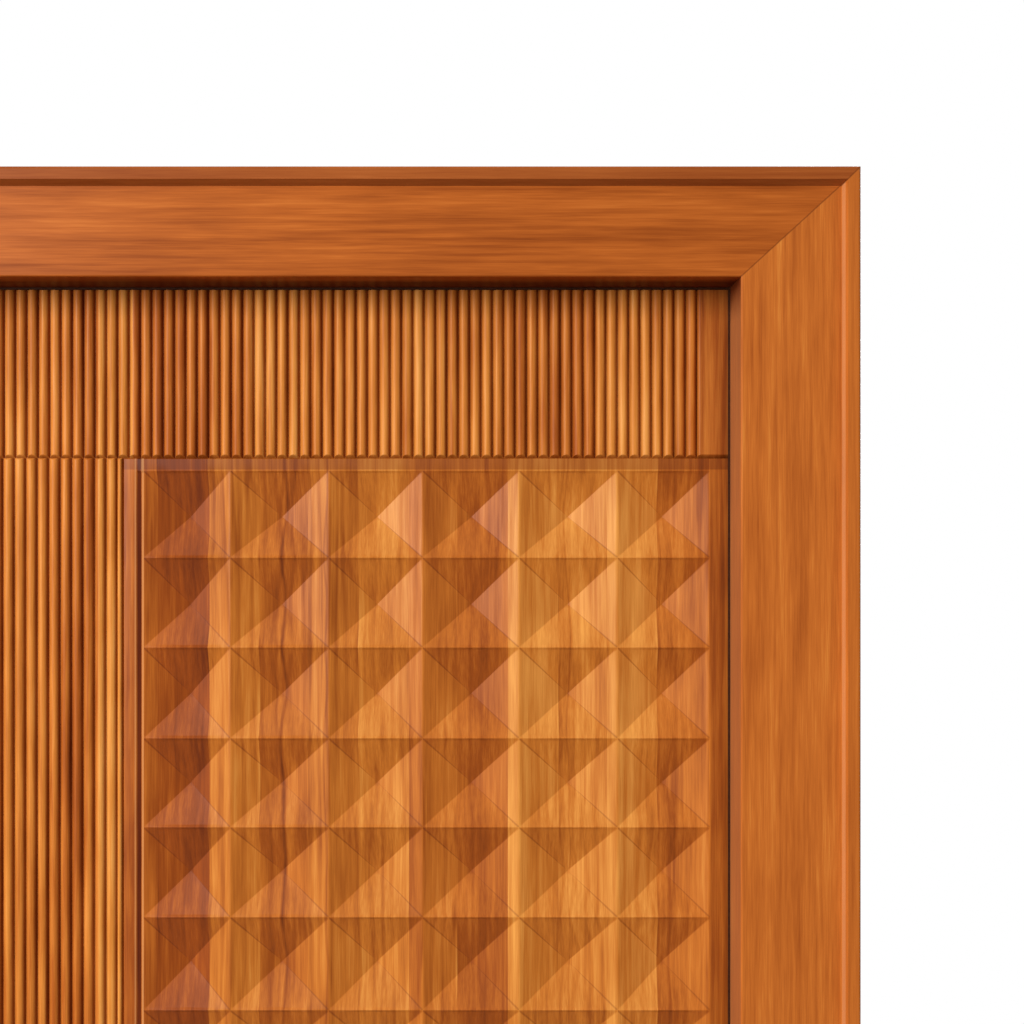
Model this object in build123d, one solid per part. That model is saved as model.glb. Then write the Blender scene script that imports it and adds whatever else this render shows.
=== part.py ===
from build123d import *
from math import floor, radians, sin, sqrt
import os

# Teak door in its frame, in millimetres. +X is to the right as seen from outside, +Y points into
# the room and +Z up. The origin is the middle of the sill's underside, halfway through the frame.
# The leaf hangs on the right and swings into the room. Every (low, high) pair is a span.

# How far a cutter reaches beyond what it cuts
cut_margin = 1.0

# Opening, between the stops and from the sill's stop to the head
clear_width = 1000.0
clear_height = 2085.0

# Frame members: their face width, the rebate's step and the sill's two levels
jamb_face = 110.0
head_face = 100.5
rebate_step = 15.0
sill_stop_height = 32.0
arris_radius = 2.0
recess = 62.0
leaf_gap = 3.0

# Raised band round the outside of the frame
band_overhang = 8.0
band_lap = 10.0
band_rise = 8.0
band_return = 22.0
band_bevel = 5.0
band_rounding = 3.0

# Rubber seals: a flat lip on the stop's rear face and a root in a kerf
seal_thickness = 3.0
seal_lip = 12.0
seal_showing = 2.0
kerf_width = 3.0
kerf_depth = 6.0
kerf_inset = 5.0

# Round pins that hold the frame's joints
dowel_radius = 6.0
dowel_length = 60.0
mitre_dowel_shares = (0.5, 0.58)
sill_dowel_shares = (0.3, 0.7)

# Holes for the frame fixings into the wall
fixing_radius = 4.0
fixing_head_radius = 9.0
fixing_head_depth = 8.0
fixing_low = 120.0
fixing_below_head = 57.0

# Leaf: layers from the front, edge strips, stiles and rails
panel_thickness = 22.0
core_thickness = 32.0
back_thickness = 6.0
lipping = 10.0
lock_stile_width = 150.0
hinge_stile_width = 120.0
rail_height = 150.0
tenon_length = 40.0
tenon_thickness = 10.0
tenon_shoulder = 20.0
back_chamfer = 1.5

# Reeded bands above and below the middle field
band_field_height = 179.0
band_reed_pitch = 11.97
band_hinge_strip = 34.0
band_lock_strip_least = 28.0
reed_depth = 4.6
reed_valley = 0.8
strip_rounding = 3.5
groove_upper = 4.0
groove_lower = 1.5

# Reeded field beside the lock
side_reed_pitch = 12.09
side_strip_least = 24.0
side_bead = 6.2
bead_joint = 1.1

# Sunken pyramids
cell_width = 100.5
cell_height = 94.5
cell_columns = 6
cell_depth = 16.0
cell_land = 3.0
nadir_drop = 3.0
hinge_margin = 21.0
lock_margin = 13.7
end_margin_least = 12.0
margin_groove_half = 3.6
margin_groove_depth = 3.6
margin_groove_inset = 4.1

# Hinges
hinge_count = 3
hinge_height = 125.0
hinge_plate = 3.0
hinge_plate_depth = 30.0
hinge_end_distance = 250.0
knuckle_radius = 7.0
knuckle_count = 5
knuckle_clear = 1.0
knuckle_gap = 2.2
bearing_thickness = 1.9
bearing_radius = 6.6
pin_radius = 3.5
pin_play = 0.05
pin_tip_radius = 5.5
pin_tip_height = 4.0

# Screws: countersunk heads
hinge_screw = (4.2, 2.6, 2.2, 34.0)
lock_screw = (3.6, 2.2, 1.9, 26.0)
case_screw = (4.0, 2.4, 2.5)
cylinder_screw_grip = 3.0
plate_screw_inset = 12.0
hinge_screw_rows = (9.0, 21.0)
hinge_screw_heights = (-45.0, -15.0, 15.0, 45.0)

# Lock
lock_height = 1040.0
backset = 60.0
case_thickness = 16.0
case_wall = 1.5
case_below = 50.0
case_above = 85.0
case_behind = 32.0
case_play = 0.5
faceplate_thickness = 3.0
faceplate_width = 24.0
faceplate_overlap = 50.0
bolt_above = 50.0
bolt_height = 35.0
bolt_thickness = 12.0
bolt_head_length = 45.5
bolt_throw = 20.0
bolt_play = 0.25
tail_thickness = 6.0
tail_height = 16.0
arm_width = 18.0
arm_clear = 1.0
notch_half = 3.6
notch_top = 18.5
bolt_setback = 0.5

# Cylinder, cam and turn
plug_seat_radius = 8.5
plug_radius = 6.0
plug_play = 0.05
cylinder_tail_width = 10.0
cylinder_drop = 24.5
cylinder_stand = 1.0
cam_half_width = 5.0
cam_slot_play = 0.3
cam_hub_radius = 7.0
cam_reach = 14.14
cam_tip_radius = 2.5
cam_stem = 2.4
cam_rest_angle = 45.0
key_slot_width = 2.2
key_slot_height = 8.0
key_slot_depth = 14.0
knob_radius = 9.0
knob_collar = 4.0
knob_length = 34.0
knob_width = 8.0
knob_reach = 20.0
knob_end_flat = 1.0
knob_chamfer = 1.0
escutcheon_radius = 26.0
escutcheon_thickness = 6.0
escutcheon_rounding = 2.5
body_play = 1.0
escutcheon_play = 0.3

# Strike
strike_thickness = 2.5
strike_half_height = 60.0
strike_play = 1.5
strike_box_depth = 24.0
strike_box_wall = 1.5

# Pull bars
pull_from_edge = 107.0
pull_length = 1200.0
pull_height = 1080.0
pull_spacing = 900.0
pull_radius = 14.0
pull_wall = 2.0
pull_standoff = 55.0
pull_cap = 4.0
post_radius = 9.0
post_flange_radius = 15.0
post_flange = 4.0
pull_bolt_radius = 4.0
pull_bolt_grip = 20.0
pull_bolt_play = 0.5

# Places across the frame, from the middle outwards
stop_x = clear_width / 2
rebate_x = stop_x + rebate_step
jamb_x = stop_x + jamb_face
band_x = jamb_x + band_overhang
leaf_x = rebate_x - leaf_gap
panel_x = leaf_x - lipping

# Heights: the mitre keeps its slope, so the head's rebate is lower than the jambs' by that slope
mitre_slope = head_face / jamb_face
clear_top = sill_stop_height + clear_height
rebate_top = clear_top + rebate_step * mitre_slope
head_top = clear_top + head_face
band_top = head_top + band_overhang
sill_rear_height = sill_stop_height - rebate_step
leaf_bottom = sill_rear_height + leaf_gap
leaf_top = rebate_top - leaf_gap

# Depths, from the frame's face to its back
leaf_thickness = panel_thickness + core_thickness + back_thickness
frame_depth = recess + leaf_thickness
face_y = -frame_depth / 2
back_y = frame_depth / 2
leaf_y = face_y + recess
stop_y = leaf_y - seal_thickness
core_y = leaf_y + panel_thickness
back_panel_y = core_y + core_thickness
core_middle_y = core_y + core_thickness / 2
rebate_middle_y = (leaf_y + back_y) / 2

# Layout of the leaf's front
upper_joint = clear_top - band_field_height
lower_joint = sill_stop_height + band_field_height
middle_height = upper_joint - lower_joint
cell_rows = floor((middle_height - 2 * end_margin_least) / cell_height)
end_margin = (middle_height - cell_rows * cell_height) / 2
grid_right = stop_x - hinge_margin
grid_left = grid_right - cell_columns * cell_width
grid_top = upper_joint - end_margin
side_joint = grid_left - lock_margin
side_width = side_joint + stop_x
side_reeds = floor((side_width - side_bead - bead_joint - side_strip_least) / side_reed_pitch)
side_reeds_end = side_joint - side_bead - bead_joint
band_reeds = floor((clear_width - band_hinge_strip - band_lock_strip_least) / band_reed_pitch)
band_reeds_end = stop_x - band_hinge_strip

# Hinge axis, lock and pull places
hinge_axis_x = (leaf_x + rebate_x) / 2
hinge_axis_y = back_y + knuckle_radius + knuckle_clear
plate_gap = leaf_gap / 2
knuckle_height = (hinge_height - (knuckle_count - 1) * knuckle_gap) / knuckle_count
hinge_low = leaf_bottom + hinge_end_distance
hinge_high = leaf_top - hinge_end_distance
hinge_step = (hinge_high - hinge_low) / (hinge_count - 1)
hinge_heights = [hinge_low + hinge_step * i for i in range(hinge_count)]
fixing_between = [height + hinge_step / 2 for height in hinge_heights[:-1]]
fixing_heights = [fixing_low, *fixing_between, clear_top - fixing_below_head]
plug_x = -leaf_x + backset
bolt_z = lock_height + bolt_above
pull_x = -leaf_x + pull_from_edge
outer_bar_y = leaf_y - pull_standoff
inner_bar_y = back_y + pull_standoff
post_heights = (pull_height - pull_spacing / 2, pull_height + pull_spacing / 2)
case_front_x = -leaf_x + faceplate_thickness
case_rear_x = plug_x + case_behind
faceplate_low = lock_height - case_below - faceplate_overlap
faceplate_high = lock_height + case_above + faceplate_overlap


def block(x, y, z):
    """A block that fills a span along each axis."""
    spans = (x, y, z)
    centre = [(low + high) / 2 for low, high in spans]
    return Pos(*centre) * Box(*[high - low for low, high in spans])


def around(middle, half):
    """The span that reaches equally far to both sides of a middle."""
    return (middle - half, middle + half)


def rod(start, end, radius):
    """A round bar from one point to another."""
    run = Vector(*end) - Vector(*start)
    stock = Cylinder(radius, run.length, align=(Align.CENTER, Align.CENTER, Align.MIN))
    return Plane(origin=start, z_dir=run) * stock


def prism_x(points, x):
    """An outline of (y, z) points carried along X."""
    outline = Plane.YZ * Polygon(*points, align=None)
    return Pos(x[0], 0, 0) * extrude(outline, x[1] - x[0], dir=(1, 0, 0))


def prism_y(points, y):
    """An outline of (x, z) points carried along Y."""
    outline = Plane.XZ * Polygon(*points, align=None)
    return Pos(0, y[0], 0) * extrude(outline, y[1] - y[0], dir=(0, 1, 0))


def prism_z(points, z, rounded=None, radius=0.0):
    """An outline of (x, y) points carried along Z, with one corner rounded if it is given."""
    outline = Polygon(*points, align=None)
    if rounded is not None:
        corner = outline.vertices().sort_by_distance(Vector(*rounded))[0]
        outline = fillet(corner, radius)
    return Pos(0, 0, z[0]) * extrude(outline, z[1] - z[0], dir=(0, 0, 1))


def screw(point, direction, sizes):
    """A countersunk screw: its flat head at a point and its shank along a direction."""
    head_radius, head_depth, shank_radius, length = sizes
    head = Cone(head_radius, shank_radius, head_depth, align=(Align.CENTER, Align.CENTER, Align.MIN))
    shank = Cylinder(shank_radius, length, align=(Align.CENTER, Align.CENTER, Align.MIN))
    return Plane(origin=point, z_dir=direction) * (head + shank)


def edge_at(shape, axis, point):
    """The edge along an axis that passes through a point."""
    return shape.edges().filter_by(axis).sort_by_distance(Vector(*point))[0]


def mirrored(shape):
    """The same piece on the other side of the door's middle."""
    return mirror(shape, about=Plane.YZ)


def mitre_wedge(above):
    """The space above or below the right-hand mitre, to cut a jamb or the head with."""
    reach = jamb_face / 2
    inner = (stop_x - reach, clear_top - reach * mitre_slope)
    outer = (jamb_x + reach, head_top + reach * mitre_slope)
    level = outer[1] + reach if above else inner[1] - reach
    return prism_y([inner, outer, (outer[0], level), (inner[0], level)], (face_y - reach, back_y + reach))


def frame_dowels():
    """Two round pins across each mitre, and two into each end of the sill."""
    across = Vector(-mitre_slope, 0, 1).normalized() * (dowel_length / 2)
    pins = []
    for share, y in zip(mitre_dowel_shares, ((face_y + stop_y) / 2, rebate_middle_y)):
        middle = Vector(stop_x + share * jamb_face, y, clear_top + share * head_face)
        pins.append(rod(middle - across, middle + across, dowel_radius))
    z = sill_stop_height / 2
    low, high = around(stop_x, dowel_length / 2)
    for share in sill_dowel_shares:
        y = face_y + share * (stop_y - face_y)
        pins.append(rod((low, y, z), (high, y, z), dowel_radius))
    return pins + [mirrored(pin) for pin in pins]


def fixing_holes():
    """Clearance holes for the wall fixings, counterbored in the right-hand rebate."""
    holes = []
    for z in fixing_heights:
        start = (rebate_x - cut_margin, rebate_middle_y, z)
        seat_end = (rebate_x + fixing_head_depth, rebate_middle_y, z)
        end = (jamb_x + cut_margin, rebate_middle_y, z)
        holes.append(rod(start, end, fixing_radius) + rod(start, seat_end, fixing_head_radius))
    return holes


def side_kerf():
    """Kerf in a jamb's stop for the root of its seal."""
    x = (stop_x + kerf_inset, stop_x + kerf_inset + kerf_width)
    z = (sill_stop_height + seal_showing, clear_top - seal_showing)
    return block(x, (stop_y - kerf_depth, stop_y), z)


def plain_jamb():
    """Right-hand jamb: a rebated member with an eased inner arris, mitred at the top."""
    points = [
        (stop_x, face_y),
        (jamb_x, face_y),
        (jamb_x, back_y),
        (rebate_x, back_y),
        (rebate_x, stop_y),
        (stop_x, stop_y),
    ]
    jamb = prism_z(points, (0, head_top), rounded=points[0], radius=arris_radius)
    return jamb - mitre_wedge(above=True) - side_kerf()


def left_jamb(dowels):
    """The jamb that the bolt enters."""
    jamb = mirrored(plain_jamb())
    jamb -= [mirrored(hole) for hole in fixing_holes()]
    jamb -= dowels
    jamb -= strike_recess()
    jamb -= strike_screws()
    return jamb


def right_jamb(dowels, screws):
    """The jamb that carries the hinges."""
    jamb = plain_jamb() - fixing_holes() - dowels
    for z in hinge_heights:
        jamb -= hinge_recess(z, (rebate_x, rebate_x + hinge_plate))
    return jamb - screws


def head(dowels):
    """Head of the frame, mitred at both ends."""
    points = [
        (face_y, clear_top),
        (face_y, head_top),
        (back_y, head_top),
        (back_y, rebate_top),
        (stop_y, rebate_top),
        (stop_y, clear_top),
    ]
    member = prism_x(points, (-jamb_x, jamb_x))
    member = fillet(edge_at(member, Axis.X, (0, face_y, clear_top)), arris_radius)
    wedge = mitre_wedge(above=False)
    z = (clear_top + kerf_inset * mitre_slope, clear_top + kerf_inset * mitre_slope + kerf_width)
    kerf = block((-stop_x, stop_x), (stop_y - kerf_depth, stop_y), z)
    return member - wedge - mirrored(wedge) - kerf - dowels


def sill(dowels):
    """Threshold with the same rebate, fitted between the jambs."""
    stop = block((-stop_x, stop_x), (face_y, stop_y), (0, sill_stop_height))
    stop = fillet(edge_at(stop, Axis.X, (0, face_y, sill_stop_height)), arris_radius)
    rear = block((-rebate_x, rebate_x), (stop_y, back_y), (0, sill_rear_height))
    top = sill_stop_height - kerf_inset
    kerf = block((-stop_x, stop_x), (stop_y - kerf_depth, stop_y), (top - kerf_width, top))
    return stop + rear - kerf - dowels


def band_points(edge, front, side):
    """Outline of the raised band: bevel towards the opening, lap on the face and a leg to the wall."""
    return [
        (edge - side * (band_overhang + band_lap), front),
        (edge - side * (band_overhang + band_lap - band_bevel), front - band_rise),
        (edge, front - band_rise),
        (edge, front + band_return),
        (edge - side * band_overhang, front + band_return),
        (edge - side * band_overhang, front),
    ]


def band_wedge(above):
    """The space above or below the band's own mitre, at 45 degrees through its outer corner."""
    reach = 2 * (band_overhang + band_lap)
    inner = (band_x - reach, band_top - reach)
    outer = (band_x + reach, band_top + reach)
    level = outer[1] if above else inner[1]
    corner = (inner[0], level) if above else (outer[0], level)
    return prism_y([inner, outer, corner], (face_y - reach, back_y))


def side_band():
    """Raised band beside the right jamb."""
    points = band_points(band_x, face_y, 1)
    band = prism_z(points, (0, band_top), rounded=points[2], radius=band_rounding)
    return band - band_wedge(above=True)


def head_band():
    """Raised band above the head."""
    points = [(y, z) for z, y in band_points(band_top, face_y, 1)]
    band = prism_x(points, (-band_x, band_x))
    band = fillet(edge_at(band, Axis.X, (0, face_y - band_rise, band_top)), band_rounding)
    wedge = band_wedge(above=False)
    return band - wedge - mirrored(wedge)


def side_seal():
    """Seal on the right jamb's stop, between the sill's seal and the head's."""
    z = (sill_stop_height + seal_showing, clear_top - seal_showing)
    lip = block((stop_x - seal_showing, stop_x - seal_showing + seal_lip), (stop_y, leaf_y), z)
    root = block((stop_x + kerf_inset, stop_x + kerf_inset + kerf_width), (stop_y - kerf_depth, stop_y), z)
    return lip + root


def head_seal():
    """Seal across the head's stop."""
    z = (clear_top - seal_showing, clear_top - seal_showing + seal_lip)
    reach = stop_x - seal_showing + seal_lip
    root_z = clear_top + kerf_inset * mitre_slope
    root = block((-stop_x, stop_x), (stop_y - kerf_depth, stop_y), (root_z, root_z + kerf_width))
    return block((-reach, reach), (stop_y, leaf_y), z) + root


def sill_seal():
    """Seal across the sill's stop."""
    top = sill_stop_height + seal_showing
    reach = stop_x - seal_showing + seal_lip
    root_top = sill_stop_height - kerf_inset
    root = block((-stop_x, stop_x), (stop_y - kerf_depth, stop_y), (root_top - kerf_width, root_top))
    return block((-reach, reach), (stop_y, leaf_y), (top - seal_lip, top)) + root


def strike_recess():
    """Pocket in the left jamb for the strike plate and its box."""
    y = around(core_middle_y, faceplate_width / 2)
    plate = block((-rebate_x - strike_thickness, -rebate_x), y, around(bolt_z, strike_half_height))
    wall = strike_play + strike_box_wall
    x = (-rebate_x - strike_thickness - strike_box_depth, -rebate_x)
    y = around(core_middle_y, bolt_thickness / 2 + wall)
    return plate + block(x, y, around(bolt_z, bolt_height / 2 + wall))


def strike_opening(x):
    """Space that the bolt enters, over a span of X."""
    y = around(core_middle_y, bolt_thickness / 2 + strike_play)
    return block(x, y, around(bolt_z, bolt_height / 2 + strike_play))


def strike_screws():
    """Two screws through the strike plate."""
    heights = around(bolt_z, strike_half_height - plate_screw_inset)
    return [screw((-rebate_x, core_middle_y, z), (-1, 0, 0), lock_screw) for z in heights]


def strike_plate():
    """Flat plate set flush in the rebate, with the bolt's hole."""
    x = (-rebate_x - strike_thickness, -rebate_x)
    plate = block(x, around(core_middle_y, faceplate_width / 2), around(bolt_z, strike_half_height))
    return plate - strike_opening(x) - strike_screws()


def strike_box():
    """Thin-walled box behind the strike plate."""
    x = (-rebate_x - strike_thickness - strike_box_depth, -rebate_x - strike_thickness)
    wall = strike_play + strike_box_wall
    y = around(core_middle_y, bolt_thickness / 2 + wall)
    box = block(x, y, around(bolt_z, bolt_height / 2 + wall))
    return box - strike_opening((x[0] + strike_box_wall, x[1]))


def hinge_recess(z, x):
    """Seat of a hinge plate, open to the back."""
    return block(x, (back_y - hinge_plate_depth, back_y), around(z, hinge_height / 2))


def knuckle_span(z, index):
    """Height span of one knuckle, counted from the bottom of a hinge."""
    low = z - hinge_height / 2 + index * (knuckle_height + knuckle_gap)
    return (low, low + knuckle_height)


def hinge_rod(z, radius):
    """A round bar on the hinges' common axis."""
    return rod((hinge_axis_x, hinge_axis_y, z[0]), (hinge_axis_x, hinge_axis_y, z[1]), radius)


def hinge_plate_with_knuckles(z, side, indexes, screws):
    """One leaf of a hinge: a flush plate and the knuckles that it carries."""
    near = hinge_axis_x + side * plate_gap
    far = near + side * hinge_plate
    x = (min(near, far), max(near, far))
    plate = hinge_recess(z, x)
    for index in indexes:
        span = knuckle_span(z, index)
        plate += block(x, (back_y, hinge_axis_y), span)
        plate += hinge_rod(span, knuckle_radius)
    bore = hinge_rod(around(z, hinge_height), pin_radius + pin_play)
    return plate - bore - screws


def hinge_pin(z):
    """Pin through the knuckles, with a button at each end."""
    low, high = around(z, hinge_height / 2)
    pin = hinge_rod((low, high), pin_radius)
    for span in ((high, high + pin_tip_height), (low - pin_tip_height, low)):
        pin += hinge_rod(span, pin_tip_radius)
    return pin


def hinge_bearings():
    """Rings that carry each knuckle on the one below."""
    rings = []
    for z in hinge_heights:
        for index in range(knuckle_count - 1):
            middle = knuckle_span(z, index)[1] + knuckle_gap / 2
            span = around(middle, bearing_thickness / 2)
            rings.append(hinge_rod(span, bearing_radius) - hinge_rod(span, pin_radius + pin_play))
    return rings


def hinge_screws(side):
    """Four staggered screws in each plate, into the frame (side 1) or into the leaf (side -1)."""
    screws = []
    for z in hinge_heights:
        for number, height in enumerate(hinge_screw_heights):
            y = back_y - hinge_screw_rows[number % 2]
            point = (hinge_axis_x + side * plate_gap, y, z + height)
            screws.append(screw(point, (side, 0, 0), hinge_screw))
    return screws


def reed_outline(left, right, reeds_start, reeds_end, pitch, count, bead):
    """Front outline of a reeded panel, from left to right, as joined lines and arcs.

    Each reed is an arc that rises by the reed's depth from the valley floor. The plain strips keep
    the face's level and round over into the first and last valley. A bead is a strip rounded on
    both sides, at the right-hand end.
    """
    valley_y = leaf_y + reed_depth
    back = leaf_y + panel_thickness
    half = (pitch - reed_valley) / 2
    far_ease = strip_rounding * sqrt(0.5)
    near_ease = strip_rounding - far_ease
    ease_y = leaf_y + reed_depth * (1 - sqrt(0.5))
    edges = [
        Line((left, back), (left, leaf_y)),
        Line((left, leaf_y), (reeds_start - strip_rounding, leaf_y)),
    ]

    def round_down(x):
        end = (x + strip_rounding, valley_y)
        edges.append(ThreePointArc((x, leaf_y), (x + far_ease, ease_y), end))

    def round_up(x):
        end = (x + strip_rounding, leaf_y)
        edges.append(ThreePointArc((x, valley_y), (x + near_ease, ease_y), end))

    round_down(reeds_start - strip_rounding)
    for number in range(count):
        middle = reeds_start + (number + 0.5) * pitch
        start = (reeds_start + number * pitch, valley_y)
        edges.append(Line(start, (middle - half, valley_y)))
        low, high = around(middle, half)
        edges.append(ThreePointArc((low, valley_y), (middle, leaf_y), (high, valley_y)))
        edges.append(Line((high, valley_y), (reeds_start + (number + 1) * pitch, valley_y)))
    if bead:
        crown = ((reeds_end + right) / 2, leaf_y)
        edges.append(ThreePointArc((reeds_end, valley_y), crown, (right, valley_y)))
        edges.append(Line((right, valley_y), (right, back)))
    else:
        round_up(reeds_end)
        edges.append(Line((reeds_end + strip_rounding, leaf_y), (right, leaf_y)))
        edges.append(Line((right, leaf_y), (right, back)))
    edges.append(Line((right, back), (left, back)))
    return make_face(Wire(edges))


def joint_bevel(height, z, upward):
    """Bevel along a horizontal joint of the front, facing down (upward false) or up."""
    depth = reed_depth if height > groove_lower else height
    level = z - height if upward else z + height
    front = leaf_y - cut_margin
    points = [(front, level), (leaf_y, level), (leaf_y + depth, z), (front, z)]
    return prism_x(points, (-leaf_x, leaf_x))


def band_panel(z, joint, upward):
    """Reeded panel across the leaf, bevelled along the joint with the middle field."""
    start = band_reeds_end - band_reeds * band_reed_pitch
    field = (start, band_reeds_end, band_reed_pitch, band_reeds)
    face = reed_outline(-panel_x, panel_x, *field, bead=False)
    panel = Pos(0, 0, z[0]) * extrude(face, z[1] - z[0], dir=(0, 0, 1))
    return panel - joint_bevel(groove_upper, joint, upward)


def side_panel(holes):
    """Reeded panel beside the lock, with a narrow bead at the diamond panel."""
    right = side_joint - bead_joint
    start = side_reeds_end - side_reeds * side_reed_pitch
    field = (start, side_reeds_end, side_reed_pitch, side_reeds)
    face = reed_outline(-panel_x, right, *field, bead=True)
    panel = Pos(0, 0, lower_joint) * extrude(face, middle_height, dir=(0, 0, 1))
    tongue_y = (leaf_y + reed_depth, leaf_y + panel_thickness)
    panel += block((right, side_joint), tongue_y, (lower_joint, upper_joint))
    panel -= joint_bevel(groove_lower, upper_joint, upward=True)
    panel -= joint_bevel(groove_lower, lower_joint, upward=False)
    return panel - holes


def sunken_pyramid(x, z):
    """One four-sided hollow: its rim lies just outside the face and its lowest point below centre."""
    half_x = (cell_width - cell_land) / 2
    half_z = (cell_height - cell_land) / 2
    tip = Vector(x, leaf_y + cell_depth, z - nadir_drop)
    over = 0.02
    rim = []
    for side_x, side_z in ((-1, -1), (1, -1), (1, 1), (-1, 1)):
        corner = Vector(x + side_x * half_x, leaf_y, z + side_z * half_z)
        rim.append(corner + (corner - tip) * over)
    faces = [Face(Wire.make_polygon(rim))]
    for number in range(4):
        faces.append(Face(Wire.make_polygon([rim[number], rim[(number + 1) % 4], tip])))
    return Solid(Shell(faces))


def diamond_panel():
    """Panel carved with a grid of sunken pyramids, and a fine groove beside its lock margin."""
    panel = block((side_joint, panel_x), (leaf_y, core_y), (lower_joint, upper_joint))
    hollows = []
    for column in range(cell_columns):
        x = grid_left + (column + 0.5) * cell_width
        for row in range(cell_rows):
            hollows.append(sunken_pyramid(x, grid_top - (row + 0.5) * cell_height))
    panel = panel - hollows
    middle = grid_left + margin_groove_inset
    points = [
        (middle - margin_groove_half, leaf_y),
        (middle, leaf_y + margin_groove_depth),
        (middle + margin_groove_half, leaf_y),
        (middle + margin_groove_half, leaf_y - cut_margin),
        (middle - margin_groove_half, leaf_y - cut_margin),
    ]
    panel -= prism_z(points, (grid_top - cell_rows * cell_height, grid_top))
    panel -= joint_bevel(groove_lower, upper_joint, upward=True)
    panel -= joint_bevel(groove_lower, lower_joint, upward=False)
    return panel


def back_panel(z):
    """Plain board on the room side, with eased edges where it meets its neighbours."""
    board = block((-panel_x, panel_x), (back_panel_y, back_y), z)
    rear = board.faces().sort_by(Axis.Y)[-1]
    return chamfer(rear.edges().filter_by(Axis.X), back_chamfer)


def lippings(side):
    """Edge strip over the full thickness of the leaf."""
    low, high = sorted((side * panel_x, side * leaf_x))
    return block((low, high), (leaf_y, back_y), (leaf_bottom, leaf_top))


def rail(z, tenon_z):
    """Rail of the core with a tenon at each end."""
    left = -panel_x + lock_stile_width
    right = panel_x - hinge_stile_width
    body = block((left, right), (core_y, back_panel_y), z)
    tenon_y = around(core_middle_y, tenon_thickness / 2)
    return body + block((left - tenon_length, right + tenon_length), tenon_y, tenon_z)


def core_boards():
    """Two boards that fill the core between the stiles and the rails."""
    left = -panel_x + lock_stile_width
    right = panel_x - hinge_stile_width
    middle = (left + right) / 2
    z = (leaf_bottom + rail_height, leaf_top - rail_height)
    return [block(x, (core_y, back_panel_y), z) for x in ((left, middle), (middle, right))]


def cylinder_profile(y, play):
    """Keyhole-shaped cylinder body over a span of Y, widened by a play."""
    z = (lock_height - cylinder_drop + cylinder_tail_width / 2, lock_height)
    tail = block(around(plug_x, cylinder_tail_width / 2 + play), y, z)
    round_end = rod((plug_x, y[0], z[0]), (plug_x, y[1], z[0]), cylinder_tail_width / 2 + play)
    seat = rod((plug_x, y[0], lock_height), (plug_x, y[1], lock_height), plug_seat_radius + play)
    return seat + tail + round_end


def case_span(inset):
    """Spans of the lock case, drawn in by an inset."""
    x = (case_front_x + inset, case_rear_x - inset)
    y = around(core_middle_y, case_thickness / 2 - inset)
    z = (lock_height - case_below + inset, lock_height + case_above - inset)
    return x, y, z


def lock_pocket():
    """Mortise for the case, open at the leaf's edge, with the faceplate's recess."""
    x, y, z = case_span(-case_play)
    pocket = block((-leaf_x, x[1]), y, z)
    return pocket + faceplate_blank()


def faceplate_blank():
    """Plate flush in the leaf's edge, before its holes."""
    y = around(core_middle_y, faceplate_width / 2)
    return block((-leaf_x, case_front_x), y, (faceplate_low, faceplate_high))


def bolt_slot(x):
    """Space that the bolt's head slides in, over a span of X."""
    y = around(core_middle_y, bolt_thickness / 2 + bolt_play)
    return block(x, y, around(bolt_z, bolt_height / 2 + bolt_play))


def faceplate_screws():
    """Two screws at the faceplate's ends."""
    heights = (faceplate_low + plate_screw_inset, faceplate_high - plate_screw_inset)
    return [screw((-leaf_x, core_middle_y, z), (1, 0, 0), lock_screw) for z in heights]


def cylinder_screw():
    """Long screw from the faceplate into the cylinder's tail."""
    z = lock_height - cylinder_drop + cylinder_tail_width
    length = backset - cylinder_tail_width / 2 + cylinder_screw_grip
    return screw((-leaf_x, core_middle_y, z), (1, 0, 0), (*case_screw, length))


def lock_faceplate():
    """Faceplate with the bolt's hole and three screw holes."""
    plate = faceplate_blank() - bolt_slot((-leaf_x, case_front_x))
    return plate - faceplate_screws() - cylinder_screw()


def lock_case():
    """Tray of the lock, open towards its cover."""
    x, y, z = case_span(0)
    inner_x, inner_y, inner_z = case_span(case_wall)
    tray = block(x, (y[0], y[1] - case_wall), z)
    tray -= block(inner_x, (inner_y[0], y[1]), inner_z)
    tray -= bolt_slot((x[0], inner_x[0]))
    return tray - cylinder_profile(y, escutcheon_play) - cylinder_screw()


def lock_cover():
    """Flat cover of the lock case."""
    x, y, z = case_span(0)
    return block(x, (y[1] - case_wall, y[1]), z) - cylinder_profile(y, escutcheon_play)


def deadbolt():
    """Bolt drawn back: its head, its tail bar and the arm that the cam drives."""
    front = -leaf_x + bolt_setback
    rear = front + bolt_head_length
    notch_x = plug_x + cam_reach * sin(radians(cam_rest_angle))
    y = around(core_middle_y, bolt_thickness / 2)
    tail_y = around(core_middle_y, tail_thickness / 2)
    bolt = block((front, rear), y, around(bolt_z, bolt_height / 2))
    tail_end = notch_x + arm_width / 2
    bolt += block((rear, tail_end), tail_y, around(bolt_z, tail_height / 2))
    arm_low = lock_height + plug_seat_radius + arm_clear
    bolt += block((tail_end - arm_width, tail_end), tail_y, (arm_low, bolt_z))
    notch = block(around(notch_x, notch_half), tail_y, (arm_low, lock_height + notch_top))
    return bolt - notch


def lock_cylinder():
    """Cylinder body, slotted in the middle for the cam and bored for the plug and spindle."""
    y = (leaf_y - escutcheon_thickness - cylinder_stand, back_y + escutcheon_thickness + cylinder_stand)
    body = cylinder_profile(y, 0)
    slot_y = around(core_middle_y, cam_half_width + cam_slot_play)
    reach = plug_seat_radius + cut_margin
    body -= block(around(plug_x, reach), slot_y, (lock_height - plug_seat_radius, lock_height + reach))
    bore = rod((plug_x, y[0], lock_height), (plug_x, y[1], lock_height), plug_radius + plug_play)
    return body - bore - cylinder_screw()


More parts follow.
